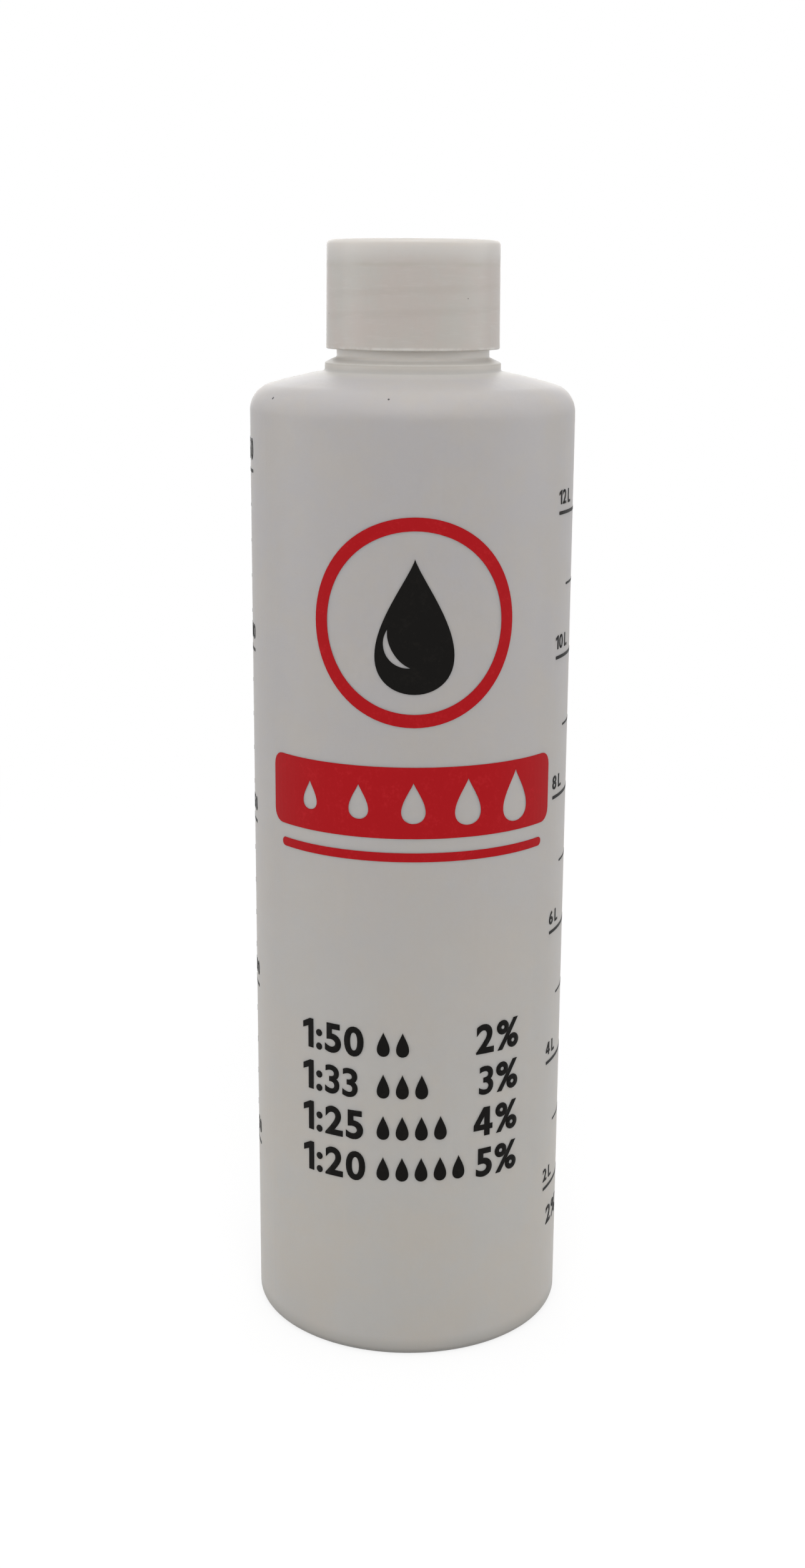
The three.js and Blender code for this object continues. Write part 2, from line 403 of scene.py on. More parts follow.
# What a curve or a letter looks like once it is filled, as a mesh of its own.
def meshOfCurve(curve):
    holder = addObject("flat", curve)
    bpy.context.view_layer.update()
    seen = holder.evaluated_get(bpy.context.evaluated_depsgraph_get())
    mesh = bpy.data.meshes.new_from_object(seen)
    bpy.data.objects.remove(holder)
    return mesh


# One letter of the built-in font, made heavier all round by bold. Its 1 is a bare bar and its
# 4 closes when it is heavy, so these two are drawn. Sizes are shares of the font's size, and
# heaviest is the weight past which a letter's outline would cross itself.
letterSize = {
    "capHeight": 0.682,
    "stroke": 0.098,
    "gap": 0.08,
    "space": 0.17,
    "heaviest": {"3": 0.02, "8": 0.026},
}


def flatLetter(letter, bold):
    if letter == "1":
        return drawnOne(bold)
    if letter == "4":
        return drawnFour(bold)
    font = bpy.data.curves.new("letter", "FONT")
    font.body = letter
    font.size = 1.0
    font.resolution_u = 6
    font.offset = min(bold, letterSize["heaviest"].get(letter, bold))
    return meshOfCurve(font)


oneSize = {"flag": 0.17, "flagLow": 0.12, "flagHigh": 0.04, "cut": 0.3}


# A stem with a flag on its left.
def drawnOne(bold):
    stem = letterSize["stroke"] + 2 * bold
    low, high = -bold, letterSize["capHeight"] + bold
    left, tip, root = oneSize["flag"], high - oneSize["flagLow"], high - oneSize["flagHigh"]
    return flatFill([[
        (left, low), (left + stem, low), (left + stem, high), (left + oneSize["cut"] * stem, high),
        (0, tip), (0, tip - stem), (left, root - stem),
    ]])


fourSize = {"stemLeft": 0.29, "barLow": 0.21, "barWeight": 0.9, "peak": 1.15, "barEnd": 0.08}


# A stem, a level bar and a slope between them, around a three-cornered hole.
def drawnFour(bold):
    stem = letterSize["stroke"] + 2 * bold
    low, high = -bold, letterSize["capHeight"] + bold
    left = fourSize["stemLeft"]
    right = left + stem
    barEnd = right + fourSize["barEnd"]
    barLow = low + fourSize["barLow"] * (high - low)
    barHigh = barLow + fourSize["barWeight"] * stem
    peak = right - fourSize["peak"] * stem
    slope = np.arctan2(high - barHigh, peak)
    corner = fourSize["barWeight"] * stem / np.sin(slope)
    holeTop = barHigh + (left - corner) * np.tan(slope)
    outline = [
        (left, low), (right, low), (right, barLow), (barEnd, barLow), (barEnd, barHigh),
        (right, barHigh), (right, high), (peak, high), (0, barHigh), (0, barLow), (left, barLow),
    ]
    return flatFill([outline, [(corner, barHigh), (left, barHigh), (left, holeTop)]])


# A line of letters side by side, from their left end or up to their right end: x and y times
# one scale each, so that a capital has the height and the line has the width.
def flatText(words, height, baseline, bold, left=None, right=None, width=None):
    pen = 0.0
    letters = []
    for letter in words:
        if letter == " ":
            pen += letterSize["space"]
            continue
        mesh = flatLetter(letter, bold)
        co = np.empty(len(mesh.vertices) * 3)
        mesh.vertices.foreach_get("co", co)
        co = co.reshape(-1, 3)
        co[:, 0] += pen - co[:, 0].min()
        pen = co[:, 0].max() + letterSize["gap"]
        letters.append((mesh, co))
    tall = height / (letterSize["capHeight"] + 2 * bold)
    natural = pen - letterSize["gap"]
    wide = tall if width is None else width / natural
    start = left if right is None else right - natural * wide
    for mesh, co in letters:
        across = co[:, 0] * wide + start
        upward = (co[:, 1] + bold) * tall + baseline
        placed = np.column_stack((across, upward, np.zeros(len(co))))
        mesh.vertices.foreach_set("co", placed.ravel())
    return [mesh for mesh, co in letters]


# Point (x, y, h) = ((R + h) sin(x / R), -(R + h) cos(x / R), y), where h is the ink's height
# over the surface and R is the body's radius.
def printInk(name, meshes, material):
    s = inkSize
    ink = bmesh.new()
    for mesh in meshes:
        ink.from_mesh(mesh)
    bmesh.ops.remove_doubles(ink, verts=ink.verts[:], dist=s["joinWithin"])
    xs = [v.co.x for v in ink.verts]
    nearParting = arcAt(np.concatenate((partingSteps - 90, partingSteps + 90)))
    cuts = np.concatenate((np.arange(np.floor(min(xs)), max(xs), s["strip"]), nearParting))
    for cut in cuts[(cuts > min(xs)) & (cuts < max(xs))]:
        bmesh.ops.bisect_plane(
            ink, geom=ink.verts[:] + ink.edges[:] + ink.faces[:], dist=s["cutWithin"],
            plane_co=(cut, 0, 0), plane_no=(1, 0, 0),
        )
    bmesh.ops.dissolve_degenerate(ink, dist=s["shortestEdge"], edges=ink.edges[:])
    raised = bmesh.ops.extrude_face_region(ink, geom=ink.faces[:])
    for part in raised["geom"]:
        if isinstance(part, bmesh.types.BMVert):
            part.co.z += 1.0
    bmesh.ops.recalc_face_normals(ink, faces=ink.faces[:])
    mesh = bpy.data.meshes.new(name)
    ink.to_mesh(mesh)
    ink.free()
    co = np.empty(len(mesh.vertices) * 3)
    mesh.vertices.foreach_get("co", co)
    x, y, level = co.reshape(-1, 3).T
    r = bodyRadius + np.where(level > 0.5, s["rise"], -s["sink"])
    a = x / bodyRadius
    r = r + partingRidge(bodyRadius * np.cos(a))
    co = np.column_stack((r * np.sin(a), -r * np.cos(a), y)) * mm
    mesh.vertices.foreach_set("co", co.ravel())
    mesh.update()
    piece = addObject(name, mesh)
    mesh.materials.append(material)
    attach(piece, "bottle_body")
    print(name, len(mesh.polygons), "faces")


outlineSize = {"circleSteps": 96, "cornerSteps": 5, "dropBelly": 1.3, "dropPoint": 1.5}


def circle(centre, radius):
    return arc(centre, radius, 0, 360, outlineSize["circleSteps"])[:-1]


# An oil drop: x = belly w/2 sin t sin^point(t/2), y = h/2 cos t, for t once round from its tip,
# so that it is pointed above and round below.
def drop(centre, width, height, steps=72):
    t = np.linspace(0, 2 * np.pi, steps, endpoint=False)
    taper = np.abs(np.sin(t / 2)) ** outlineSize["dropPoint"]
    x = width / 2 * outlineSize["dropBelly"] * np.sin(t) * taper
    return np.array(centre) + np.column_stack((x, height / 2 * np.cos(t)))


# A rectangle with rounded corners.
def bar(left, right, bottom, top, corner):
    low, high = bottom + corner, top - corner
    first, last = left + corner, right - corner
    centres = ((last, high), (first, high), (first, low), (last, low))
    return np.concatenate([
        arc(centre, corner, quarter * 90, quarter * 90 + 90, outlineSize["cornerSteps"])
        for quarter, centre in enumerate(centres)
    ])


# Finishes. Patterns read Object coordinates, in metres, and colours are linear.

# A node group with named inputs and outputs, and its two inner ends.
def newGroup(name, inputs, outputs):
    group = bpy.data.node_groups.new(name, "ShaderNodeTree")
    for label, kind, value in inputs:
        socket = group.interface.new_socket(label, in_out="INPUT", socket_type="NodeSocket" + kind)
        if value is not None:
            socket.default_value = value
    for label, kind in outputs:
        group.interface.new_socket(label, in_out="OUTPUT", socket_type="NodeSocket" + kind)
    return group, group.nodes.new("NodeGroupInput"), group.nodes.new("NodeGroupOutput")


# A socket that is linked to another or set to a value.
def fill(tree, socket, value):
    if hasattr(value, "is_linked"):
        tree.links.new(value, socket)
    else:
        socket.default_value = value


def addNode(tree, kind, inputs, **settings):
    node = tree.nodes.new("ShaderNode" + kind)
    for name, value in settings.items():
        setattr(node, name, value)
    for slot, value in inputs.items():
        fill(tree, node.inputs[slot], value)
    return node


def addMath(tree, operation, *values):
    return addNode(tree, "Math", dict(enumerate(values)), operation=operation).outputs[0]


def times(tree, first, second):
    return addMath(tree, "MULTIPLY", first, second)


def minus(tree, first, second):
    return addMath(tree, "SUBTRACT", first, second)


# 0 below low, 1 above high, and an eased rise between them.
def addRamp(tree, value, low, high):
    inputs = {"Value": value, "From Min": low, "From Max": high}
    return addNode(tree, "MapRange", inputs, interpolation_type="SMOOTHSTEP").outputs["Result"]


def addStretch(tree, vector, scale):
    return addNode(tree, "Mapping", {"Vector": vector, "Scale": scale}).outputs["Vector"]


def addNoise(tree, vector, scale, detail, roughness=0.5):
    inputs = {"Vector": vector, "Scale": scale, "Detail": detail, "Roughness": roughness}
    return addNode(tree, "TexNoise", inputs).outputs["Fac"]


# (1 - factor) * first + factor * second.
def addMix(tree, factor, first, second):
    node = addNode(tree, "Mix", {}, data_type="RGBA")
    for name, value in (("Factor_Float", factor), ("A_Color", first), ("B_Color", second)):
        fill(tree, next(entry for entry in node.inputs if entry.identifier == name), value)
    return next(entry for entry in node.outputs if entry.identifier == "Result_Color")


cloudSize = {
    "clouds": (3.0, 0.55),
    "fineTimes": 7.3,
    "fineDetail": 2.0,
    "shares": (0.75, 0.25),
    "edges": (0.36, 0.64),
}


# Cloudy resin: two tones drift into each other over some millimetres, with a finer
# curdle inside the clouds.
def makeCloudGroup():
    s = cloudSize
    group, given, result = newGroup(
        "resinClouds",
        (("Vector", "Vector", None), ("Cloud Scale", "Float", 120.0),
         ("First Tone", "Color", None), ("Second Tone", "Color", None)),
        (("Color", "Color"), ("Mask", "Float")),
    )
    vector, scale = given.outputs["Vector"], given.outputs["Cloud Scale"]
    clouds = addNoise(group, vector, scale, *s["clouds"])
    fine = addNoise(group, vector, times(group, scale, s["fineTimes"]), s["fineDetail"])
    parts = (times(group, noise, share) for noise, share in zip((clouds, fine), s["shares"]))
    mask = addRamp(group, addMath(group, "ADD", *parts), *s["edges"])
    group.links.new(addMix(group, mask, given.outputs["First Tone"], given.outputs["Second Tone"]),
                    result.inputs["Color"])
    group.links.new(mask, result.inputs["Mask"])
    return group


skinSize = {
    "grain": (2.0, 0.6),
    "drawStretch": (1.0, 1.0, 0.02),
    "draw": (700.0, 2.0),
    "ripple": (85.0, 1.0),
    "rippleDepth": 2.2,
    "patches": (260.0, 3.0),
}


# Moulded skin: the fine sand-blast grain of the mould and the long draw lines that run
# up a blown or moulded wall.
def makeSkinGroup():
    s = skinSize
    group, given, result = newGroup(
        "mouldedSkin",
        (("Vector", "Vector", None), ("Grain Scale", "Float", 2600.0),
         ("Grain Depth", "Float", 0.5), ("Draw Depth", "Float", 0.5)),
        (("Height", "Float"), ("Patches", "Float")),
    )
    vector = given.outputs["Vector"]
    grain = addNoise(group, vector, given.outputs["Grain Scale"], *s["grain"])
    drawn = addNoise(group, addStretch(group, vector, s["drawStretch"]), *s["draw"])
    ripple = addNoise(group, vector, *s["ripple"])
    height = addMath(
        group, "ADD",
        times(group, grain, given.outputs["Grain Depth"]),
        times(group, drawn, given.outputs["Draw Depth"]),
    )
    height = addMath(group, "MULTIPLY_ADD", ripple, s["rippleDepth"], height)
    group.links.new(height, result.inputs["Height"])
    group.links.new(addNoise(group, vector, *s["patches"]), result.inputs["Patches"])
    return group


speckEdges = (0.6, 1.0)


# A speck: 1 inside a small ball about one place, 0 outside.
def makeSpeckGroup():
    group, given, result = newGroup(
        "darkSpeck",
        (("Vector", "Vector", None), ("Centre", "Vector", None),
         ("Radius", "Float", 0.00015)),
        (("Mask", "Float"),),
    )
    ends = {0: given.outputs["Vector"], 1: given.outputs["Centre"]}
    away = addNode(group, "VectorMath", ends, operation="DISTANCE").outputs["Value"]
    share = addMath(group, "DIVIDE", away, given.outputs["Radius"])
    group.links.new(minus(group, 1.0, addRamp(group, share, *speckEdges)), result.inputs["Mask"])
    return group


resinClouds = makeCloudGroup()
mouldedSkin = makeSkinGroup()
darkSpeck = makeSpeckGroup()


# A material, its tree, the place on the object, the height in it and the shader.
def newMaterial(name):
    material = bpy.data.materials.new(name)
    material.use_nodes = True
    tree = material.node_tree
    place = tree.nodes.new("ShaderNodeTexCoord").outputs["Object"]
    split = tree.nodes.new("ShaderNodeSeparateXYZ")
    tree.links.new(place, split.inputs[0])
    return material, tree, place, split.outputs["Z"], tree.nodes["Principled BSDF"]


# A group at work in a material. A value named cloudScale goes to the input Cloud Scale.
def addGroup(tree, group, place, **values):
    node = addNode(tree, "Group", {}, node_tree=group)
    fill(tree, node.inputs["Vector"], place)
    for name, value in values.items():
        label = "".join(" " + letter if letter.isupper() else letter for letter in name)
        fill(tree, node.inputs[label[0].upper() + label[1:]], value)
    return node.outputs


def addBump(tree, shader, height, distance, strength):
    inputs = {"Distance": distance, "Strength": strength, "Height": height}
    fill(tree, shader.inputs["Normal"], addNode(tree, "Bump", inputs).outputs["Normal"])


# low + mask * (high - low).
def addRoughness(tree, shader, mask, low, high):
    inputs = {"Value": mask, "To Min": low, "To Max": high}
    fill(tree, shader.inputs["Roughness"], addNode(tree, "MapRange", inputs).outputs["Result"])


def addSpecks(tree, place, colour, specks, dark):
    for spot, radius in specks:
        spot = [value * mm for value in spot]
        mask = addGroup(tree, darkSpeck, place, centre=spot, radius=radius * mm)
        colour = addMix(tree, mask["Mask"], colour, dark)
    return colour


# Light that spreads under the surface by radius times these shares of red, green and blue.
lightReach = (1.0, 0.9, 0.8)


def setSubsurface(shader, weight, radius):
    shader.inputs["Subsurface Weight"].default_value = weight
    shader.inputs["Subsurface Radius"].default_value = lightReach
    shader.inputs["Subsurface Scale"].default_value = radius * mm


# What the two plastics share: their sheen, their moulded skin and their milky depth.
def finishPlastic(s, tree, place, shader, colour):
    fill(tree, shader.inputs["Base Color"], colour)
    fill(tree, shader.inputs["Specular IOR Level"], s["specular"])
    skin = addGroup(tree, mouldedSkin, place, **s["skin"])
    addBump(tree, shader, skin["Height"], *s["bump"])
    addRoughness(tree, shader, skin["Patches"], *s["roughness"])
    setSubsurface(shader, *s["subsurface"])


bottleFinish = {
    "upperCool": (0.396, 0.380, 0.379, 1),
    "upperWarm": (0.406, 0.383, 0.366, 1),
    "lowerCool": (0.432, 0.418, 0.398, 1),
    "lowerWarm": (0.443, 0.416, 0.382, 1),
    "upperHeights": (0.02, 0.13),
    "footTone": (0.305, 0.293, 0.275, 1),
    "footShadeHeights": (0.0, 0.0035),
    "cloudScale": 95.0,
    "lowerCloudTimes": 0.8,
    "roughness": (0.44, 0.54),
    # the collar, bevel and ring tones are painted light and shade, and the neck's tone is partly
    # painted light
    "collarTone": (0.442, 0.424, 0.400, 1),
    "collarHeights": (0.1528, 0.1536),
    "bevelTone": (0.375, 0.358, 0.334, 1),
    "bevelHeights": (0.15455, 0.15475),
    "ringTone": (0.73, 0.698, 0.657, 1),
    "ringHeights": (0.1553, 0.1558),
    "neckTone": (0.60, 0.572, 0.535, 1),
    "neckHeights": (0.1576, 0.1583),
    "specular": 0.25,
    "specks": (((-20.91, -12.22, 150.07), 0.27), ((-3.91, -23.48, 150.58), 0.19)),
    "speckTone": (0.04, 0.04, 0.045, 1),
    "skin": {"grainScale": 2400.0, "grainDepth": 0.35, "drawDepth": 0.55},
    "bump": (0.00012, 0.35),
    "subsurface": (0.8, 2.6),
}


def makeBottlePlastic():
    s = bottleFinish
    material, tree, place, height, shader = newMaterial("naturalPolyethylene")
    upper = addGroup(tree, resinClouds, place, cloudScale=s["cloudScale"],
                     firstTone=s["upperCool"], secondTone=s["upperWarm"])
    lower = addGroup(tree, resinClouds, place, cloudScale=s["cloudScale"] * s["lowerCloudTimes"],
                     firstTone=s["lowerCool"], secondTone=s["lowerWarm"])
    colour = addMix(tree, addRamp(tree, height, *s["upperHeights"]), lower["Color"], upper["Color"])
    # painted shade: the bottom few millimetres, next to the floor, are darker
    colour = addMix(tree, addRamp(tree, height, *s["footShadeHeights"]), s["footTone"], colour)
    # painted light and shade from the collar up: the collar's side lighter against its shade, its top
    # edge darker against its highlight, and the neck's ring much lighter to fill the shade under the
    # cap's edge; the neck above is lighter partly because its thicker wall is milkier and partly as
    # painted light for the gap under the cap
    for part in ("collar", "bevel", "ring", "neck"):
        share = addRamp(tree, height, *s[part + "Heights"])
        colour = addMix(tree, share, colour, s[part + "Tone"])
    colour = addSpecks(tree, place, colour, s["specks"], s["speckTone"])
    finishPlastic(s, tree, place, shader, colour)
    return material


capFinish = {
    "cool": (0.441, 0.422, 0.394, 1),
    "warm": (0.450, 0.409, 0.381, 1),
    "topTone": (0.524, 0.502, 0.478, 1),
    "topHeights": (0.1690, 0.1719),
    "specular": 0.3,
    "lineTone": (0.425, 0.395, 0.360, 1),
    # the paler tone of the moulding streaks and of the painted highlight on the skirt's edge
    "rimTone": (0.56, 0.545, 0.52, 1),
    "threadShadowTone": (0.385, 0.345, 0.315, 1),
    "threadShadowShare": 0.22,
    "helixHeights": (0.1600, 0.1615, 0.1662, 0.1678),
    "helixEdges": (0.45, 0.9),
    "streakStretch": (0.12, 0.12, 1.0),
    "streakNoise": (2300.0, 3.0, 0.6),
    "streakEdges": (0.5, 0.75),
    "streakShare": 0.14,
    "rimRise": (0.0002, 0.0006),
    "rimNoise": (260.0, 4.0, 0.65),
    "rimEdges": (0.40, 0.66),
    "insideTone": (0.80, 0.77, 0.73, 1),
    "insideRadii": (0.0128, 0.0131),
    "insideHeights": (0.1719, 0.1721),
    "cloudScale": 110.0,
    "lineHeight": 0.1693,
    "lineWidth": 0.0005,
    "lineNoise": (160.0, 2.0),
    "lineEdges": (0.35, 0.65),
    "roughness": (0.38, 0.48),
    "specks": (((-12.7, -3.5, 162.2), 0.16), ((7.8, -10.6, 164.5), 0.13)),
    "speckTone": (0.10, 0.09, 0.08, 1),
    "skin": {"grainScale": 3000.0, "grainDepth": 0.3, "drawDepth": 0.9},
    "bump": (0.0001, 0.35),
    "subsurface": (0.8, 2.6),
}


# sqrt(x^2 + y^2), the distance from the axis.
def addRadius(tree, split):
    squares = (times(tree, split[axis], split[axis]) for axis in ("X", "Y"))
    return addMath(tree, "SQRT", addMath(tree, "ADD", *squares))


# 1 along the middle of the neck's helix, z = start + pitch * turn, and 0 half a pitch away from
# it, kept to the heights at which the thread lies behind the cap's wall.
def addHelix(tree, height, split):
    start, full, stay, end = capFinish["helixHeights"]
    turn = addMath(tree, "ARCTAN2", split["X"], times(tree, split["Y"], -1.0))
    turn = addMath(tree, "DIVIDE", turn, 2 * np.pi)
    climbed = minus(tree, height, capThreadStart * mm)
    laps = addMath(tree, "DIVIDE", climbed, screwThread["pitch"] * mm)
    phase = addMath(tree, "FRACT", minus(tree, laps, turn))
    away = addMath(tree, "ABSOLUTE", minus(tree, phase, 0.5))
    wave = minus(tree, 1.0, times(tree, away, 2.0))
    above = minus(tree, 1.0, addRamp(tree, height, stay, end))
    reach = times(tree, addRamp(tree, height, start, full), above)
    return times(tree, addRamp(tree, wave, *capFinish["helixEdges"]), reach)


def makeCapPlastic():
    s = capFinish
    material, tree, place, height, shader = newMaterial("capPolyethylene")
    split = height.node.outputs
    colour = addGroup(tree, resinClouds, place, cloudScale=s["cloudScale"],
                      firstTone=s["cool"], secondTone=s["warm"])["Color"]
    # the panel and the foam disc behind the wall lighten its top, down to a faint line
    colour = addMix(tree, addRamp(tree, height, *s["topHeights"]), colour, s["topTone"])
    away = addMath(tree, "ABSOLUTE", minus(tree, height, s["lineHeight"]))
    patchy = addRamp(tree, addNoise(tree, place, *s["lineNoise"]), *s["lineEdges"])
    level = minus(tree, 1.0, addRamp(tree, away, 0.0, s["lineWidth"]))
    colour = addMix(tree, times(tree, level, patchy), colour, s["lineTone"])
    # painted shade: the shadow of the neck's thread behind the wall, a faint darker helix
    helix = times(tree, addHelix(tree, height, split), s["threadShadowShare"])
    colour = addMix(tree, helix, colour, s["threadShadowTone"])
    # fine level streaks of the moulding
    streaks = addNoise(tree, addStretch(tree, place, s["streakStretch"]), *s["streakNoise"])
    streaks = times(tree, addRamp(tree, streaks, *s["streakEdges"]), s["streakShare"])
    colour = addMix(tree, streaks, colour, s["rimTone"])
    # the thin edge of the skirt catches the light here and there
    low, high = (capLow[2] * mm + rise for rise in s["rimRise"])
    rim = minus(tree, 1.0, addRamp(tree, height, low, high))
    broken = addRamp(tree, addNoise(tree, place, *s["rimNoise"]), *s["rimEdges"])
    colour = addMix(tree, times(tree, rim, broken), colour, s["rimTone"])
    colour = addSpecks(tree, place, colour, s["specks"], s["speckTone"])
    # light comes through the wall, so the inside is as bright as the light on it from outside
    outside = addMath(tree, "MAXIMUM", addRamp(tree, addRadius(tree, split), *s["insideRadii"]),
                      addRamp(tree, height, *s["insideHeights"]))
    colour = addMix(tree, outside, s["insideTone"], colour)
    finishPlastic(s, tree, place, shader, colour)
    return material


linerFinish = {
    "bright": (0.80, 0.79, 0.77, 1),
    "shaded": (0.70, 0.69, 0.67, 1),
    "cellScale": 2200.0,
    "cellEdges": (0.1, 0.6),
    "bump": (-0.00006, 0.6),
    "roughness": (0.75, 0.9),
    "subsurface": (0.3, 1.0),
}


# Foam whose closed cells are shallow pits, about half a millimetre across.
def makeLinerFoam():
    s = linerFinish
    material, tree, place, height, shader = newMaterial("foamedPolyethylene")
    cells = addNode(tree, "TexVoronoi", {"Vector": place, "Scale": s["cellScale"]})
    mask = addRamp(tree, cells.outputs["Distance"], *s["cellEdges"])
    # painted shade: the colour darkens with the same mask that sinks the surface into pits
    fill(tree, shader.inputs["Base Color"], addMix(tree, mask, s["bright"], s["shaded"]))
    addBump(tree, shader, mask, *s["bump"])
    addRoughness(tree, shader, mask, *s["roughness"])
    setSubsurface(shader, *s["subsurface"])
    return material


inkFinish = {
    "red": (0.335, 0.0070, 0.0100, 1),
    "redThin": (0.385, 0.012, 0.016, 1),
    "black": (0.0055, 0.005, 0.0045, 1),
    "blackThin": (0.009, 0.008, 0.007, 1),
    "patchNoise": (500.0, 3.0, 0.6),
    "meshNoise": (2100.0, 2.0, 0.7),
    "shares": (0.5, 0.5),
    "thinEdges": (0.5, 0.72),
    "bump": (0.00003, 0.4),
    "roughness": (0.45, 0.6),
    "specular": 0.06,
}


# Screen-printed ink: a little thinner where the screen's mesh held it back.
def makeInk(name, solid, thin):
    s = inkFinish
    material, tree, place, height, shader = newMaterial(name)
    patches = addNoise(tree, place, *s["patchNoise"])
    pores = addNoise(tree, place, *s["meshNoise"])
    patchShare, poreShare = s["shares"]
    both = addMath(tree, "MULTIPLY_ADD", pores, poreShare, times(tree, patches, patchShare))
    mask = addRamp(tree, both, *s["thinEdges"])
    fill(tree, shader.inputs["Base Color"], addMix(tree, mask, solid, thin))
    addBump(tree, shader, pores, *s["bump"])
    addRoughness(tree, shader, mask, *s["roughness"])
    fill(tree, shader.inputs["Specular IOR Level"], s["specular"])
    return material


bottlePiece.data.materials.append(makeBottlePlastic())
capPiece.data.materials.append(makeCapPlastic())
linerPiece.data.materials.append(makeLinerFoam())
inkRed = makeInk("redInk", inkFinish["red"], inkFinish["redThin"])
inkBlack = makeInk("blackInk", inkFinish["black"], inkFinish["blackThin"])
print("finishes made")


# The scales. Heights follow from the volume held above the bottle's floor.
scaleSize = {
    "zeroHeight": 0.6, "mixLeft": 61.3, "mixMinorLeft": 70.0, "mixRight": 97.0,
    "mixMajorWidth": 0.52, "mixMinorWidth": 0.34, "mixNumeral": 2.15, "mixWideNumeral": 5.4,
    "mixSlimNumeral": 3.9, "mixNumeralRise": 1.3, "mixPercentLeft": 64.8, "mixPercent": 3.1,
    "mixPercentWidth": 6.6, "mixPercentDrop": 6.9, "volumeRight": -77.0,
    "volumeMinorRight": -86.0, "volumeLeft": -111.0, "volumeWidth": 0.5,
    "volumeMinorWidth": 0.3, "volumeNumeral": 2.3, "volumeNumeralRise": 1.7,
    "volumeMinorLeft": -100.0, "volumeTopTimes": 1.4, "numeralPast": (0.1, 0.2),
    "mlPerLitre": 20, "endRounding": 0.5, "bold": 0.022,
}
millimetresPerMl = 1000 / (np.pi * (bodyRadius - bottleSize["wall"]) ** 2)


# zeroHeight + volume / (pi * (body radius - wall)^2).
def heightOf(volume):
    return scaleSize["zeroHeight"] + volume * millimetresPerMl


# A level line between two places round the body, with eased ends.
def levelMark(left, right, height, width):
    half = width / 2
    return flatFill([bar(left, right, height - half, height + half, half * scaleSize["endRounding"])])


# Litres of fuel mix at 2 % on the right and millilitres on the left, each with long marks
# that have a number and short marks between them.
def makeScales():
    s = scaleSize
    marks = []
    mixPast, volumePast = s["numeralPast"]
    for litres in range(2, 13):
        height = heightOf(litres * s["mlPerLitre"])
        major = litres % 2 == 0
        left = arcAt(s["mixLeft"] if major else s["mixMinorLeft"])
        thick = s["mixMajorWidth"] if major else s["mixMinorWidth"]
        marks.append(levelMark(left, arcAt(s["mixRight"]), height, thick))
        if major:
            width = s["mixWideNumeral"] if litres >= 10 else s["mixSlimNumeral"]
            marks.extend(flatText(
                f"{litres} L", s["mixNumeral"], left=left - mixPast, bold=s["bold"], width=width,
                baseline=height + s["mixNumeralRise"],
            ))
    marks.extend(flatText(
        "2%", s["mixPercent"], left=arcAt(s["mixPercentLeft"]), bold=s["bold"],
        width=s["mixPercentWidth"], baseline=heightOf(2 * s["mlPerLitre"]) - s["mixPercentDrop"],
    ))
    for volume in range(50, 251, 10):
        height = heightOf(volume)
        major = volume % 50 == 0
        right = arcAt(s["volumeRight"] if major else s["volumeMinorRight"])
        left = arcAt(s["volumeLeft"] if major else s["volumeMinorLeft"])
        thick = s["volumeWidth"] if major else s["volumeMinorWidth"]
        marks.append(levelMark(left, right, height, thick))
        if major:
            tall = s["volumeNumeral"] * (s["volumeTopTimes"] if volume == 250 else 1.0)
            marks.extend(flatText(
                str(volume), tall, right=right + volumePast, bold=s["bold"],
                baseline=height + s["volumeNumeralRise"],
            ))
    printInk("scaleInk", marks, inkBlack)


emblemSize = {
    "centre": 118.5, "ringOuter": 15.5, "ringWidth": 2.0, "dropWidth": 13.0, "dropHeight": 20.0,
    "dropSink": 0.5, "glint": 1.1, "glintSink": 1.8, "glintDegrees": (160, 262),
    "glintSteps": 28, "glintReach": 0.33, "bandHalf": 25.0, "bandTop": 97.0, "bandBottom": 86.0,
    "bandCorner": 2.0, "rule": 1.4, "ruleGap": 2.2, "ruleInset": 2, "bandDrop": (5.2, 8.2),
    "bandDropPitch": 8.4, "bandDropShares": (0.55, 0.11),
}


# A ring round a drop, and below it a band that five drops of rising size are cut out of,
# with a rule under it.
def makeEmblem():
    s = emblemSize
    middle = (0, s["centre"])
    ring = flatFill([circle(middle, s["ringOuter"]), circle(middle, s["ringOuter"] - s["ringWidth"])])
    half, top, bottom = s["bandHalf"], s["bandTop"], s["bandBottom"]
    wide, tall = s["bandDrop"]
    smallest, step = s["bandDropShares"]
    band = [bar(-half, half, bottom, top, s["bandCorner"])]
    for number in range(5):
        share = smallest + step * number
        centre = ((number - 2) * s["bandDropPitch"], (top + bottom) / 2)
        band.append(drop(centre, wide * share, tall * share))
    band = flatFill(band)
    lower = bottom - s["ruleGap"]
    reach = half - s["ruleInset"]
    rule = flatFill([bar(-reach, reach, lower - s["rule"], lower, s["rule"] / 2)])
    printInk("emblemRed", [ring, band, rule], inkRed)
    body = drop((0, s["centre"] - s["dropSink"]), s["dropWidth"], s["dropHeight"])
    printInk("emblemBlack", [flatFill([body, crescent(body)])], inkBlack)


# The light on the drop: an arc of the drop's lower left, as wide as the glint at its
# middle and pointed at both ends.
def crescent(body):
    s = emblemSize
    centre = body.mean(axis=0) + (0, -s["glintSink"])
    a = np.radians(np.linspace(*s["glintDegrees"], s["glintSteps"]))
    ray = np.column_stack((np.cos(a), np.sin(a)))
    swell = s["glint"] * np.sin(np.linspace(0, np.pi, s["glintSteps"]))[:, None] / 2
    radius = s["dropWidth"] * s["glintReach"]
    outer, inner = centre + ray * (radius + swell), centre + ray * (radius - swell)
    return np.concatenate((outer, inner[::-1][1:-1]))


# Four mixing ratios, each with its share of oil as a row of drops and as a number.
mixTable = {
    "rows": (("1:50", 2, 50.7), ("1:33", 3, 43.8), ("1:25", 4, 36.9), ("1:20", 5, 30.0)),
    "numeral": 4.8, "bold": 0.03, "halfWidth": 18.5, "dropStart": -4.4, "dropPitch": 3.0,
    "dropWidth": 2.2, "dropHeight": 4.0, "dropSteps": 40,
}


